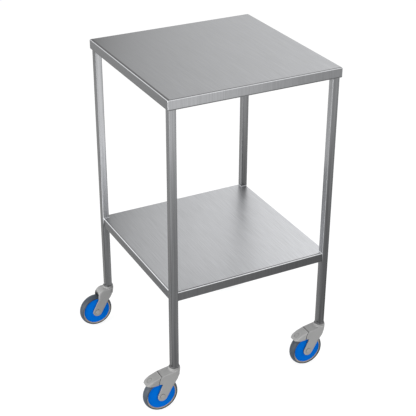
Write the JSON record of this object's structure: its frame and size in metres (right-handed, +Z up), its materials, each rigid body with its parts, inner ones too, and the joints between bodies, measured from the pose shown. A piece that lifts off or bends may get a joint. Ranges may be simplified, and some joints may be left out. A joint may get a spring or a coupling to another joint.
{
  "type": "dressing trolley",
  "caption": "Square stainless trolley with a flat top, a lower shelf, square tube legs and swivel casters, the front ones with brake pedals.",
  "frame": {"origin": "on the floor under the middle of the whole trolley's bounding box, its casters trailing toward -X", "axes": "+Z up; -Y is the front, with the braked casters; the casters trail toward -X"},
  "size_m": [0.5699, 0.4972, 0.9],
  "materials": {
    "stainless": "satin brushed stainless sheet and tube",
    "plug_plastic": "dark moulded plastic",
    "steel": "plain zinc-plated steel",
    "caster_grey": "fine matt moulded grey plastic",
    "core_grey": "moulded grey plastic",
    "tread_rubber": "smooth blue-grey rubber tread",
    "cover_blue": "blue plastic wheel cover with a soft sheen",
    "shoe_rubber": "dark brake rubber"
  },
  "bodies": {
    "root": {"top_panel": "stainless", "top_stiffener": "stainless", "lower_shelf": "stainless", "shelf_stiffener": "stainless", "leg_fl": "stainless", "plug_fl": "plug_plastic", "stem_fl": "steel", "leg_fr": "stainless", "plug_fr": "plug_plastic", "stem_fr": "steel", "leg_bl": "stainless", "plug_bl": "plug_plastic", "stem_bl": "steel", "leg_br": "stainless", "plug_br": "plug_plastic", "stem_br": "steel"},
    "swivel_fl": {"fork_fl": "caster_grey", "swivel_bearings_fl": "steel", "axle_fl": "steel", "axle_caps_fl": "caster_grey", "pedal_pin_fl": "steel"},
    "wheel_fl": {"wheel_core_fl": "core_grey", "tyre_fl": "tread_rubber", "wheel_covers_fl": "cover_blue", "wheel_bearings_fl": "steel"},
    "pedal_fl": {"pedal_fl": "caster_grey", "brake_shoe_fl": "shoe_rubber"},
    "swivel_fr": {"fork_fr": "caster_grey", "swivel_bearings_fr": "steel", "axle_fr": "steel", "axle_caps_fr": "caster_grey", "pedal_pin_fr": "steel"},
    "wheel_fr": {"wheel_core_fr": "core_grey", "tyre_fr": "tread_rubber", "wheel_covers_fr": "cover_blue", "wheel_bearings_fr": "steel"},
    "pedal_fr": {"pedal_fr": "caster_grey", "brake_shoe_fr": "shoe_rubber"},
    "swivel_bl": {"fork_bl": "caster_grey", "swivel_bearings_bl": "steel", "axle_bl": "steel", "axle_caps_bl": "caster_grey"},
    "wheel_bl": {"wheel_core_bl": "core_grey", "tyre_bl": "tread_rubber", "wheel_covers_bl": "cover_blue", "wheel_bearings_bl": "steel"},
    "swivel_br": {"fork_br": "caster_grey", "swivel_bearings_br": "steel", "axle_br": "steel", "axle_caps_br": "caster_grey"},
    "wheel_br": {"wheel_core_br": "core_grey", "tyre_br": "tread_rubber", "wheel_covers_br": "cover_blue", "wheel_bearings_br": "steel"}
  },
  "joints": [
    {"name": "swivel_fl_turn", "type": "hinge", "parent": "root", "child": "swivel_fl", "pos_m": [-0.1918, -0.2304, 0.1], "axis": [0, 0, 1], "continuous": true},
    {"name": "wheel_fl_roll", "type": "hinge", "parent": "swivel_fl", "child": "wheel_fl", "pos_m": [-0.2348, -0.2304, 0.05], "axis": [0, 1, 0], "continuous": true},
    {"name": "pedal_fl_press", "type": "hinge", "parent": "swivel_fl", "child": "pedal_fl", "pos_m": [-0.2218, -0.2304, 0.103], "axis": [0, -1, 0], "range_deg": [0, 5]},
    {"name": "swivel_fr_turn", "type": "hinge", "parent": "root", "child": "swivel_fr", "pos_m": [0.269, -0.2304, 0.1], "axis": [0, 0, 1], "continuous": true},
    {"name": "wheel_fr_roll", "type": "hinge", "parent": "swivel_fr", "child": "wheel_fr", "pos_m": [0.226, -0.2304, 0.05], "axis": [0, 1, 0], "continuous": true},
    {"name": "pedal_fr_press", "type": "hinge", "parent": "swivel_fr", "child": "pedal_fr", "pos_m": [0.239, -0.2304, 0.103], "axis": [0, -1, 0], "range_deg": [0, 5]},
    {"name": "swivel_bl_turn", "type": "hinge", "parent": "root", "child": "swivel_bl", "pos_m": [-0.1918, 0.2304, 0.1], "axis": [0, 0, 1], "continuous": true},
    {"name": "wheel_bl_roll", "type": "hinge", "parent": "swivel_bl", "child": "wheel_bl", "pos_m": [-0.2348, 0.2304, 0.05], "axis": [0, 1, 0], "continuous": true},
    {"name": "swivel_br_turn", "type": "hinge", "parent": "root", "child": "swivel_br", "pos_m": [0.269, 0.2304, 0.1], "axis": [0, 0, 1], "continuous": true},
    {"name": "wheel_br_roll", "type": "hinge", "parent": "swivel_br", "child": "wheel_br", "pos_m": [0.226, 0.2304, 0.05], "axis": [0, 1, 0], "continuous": true}
  ]
}
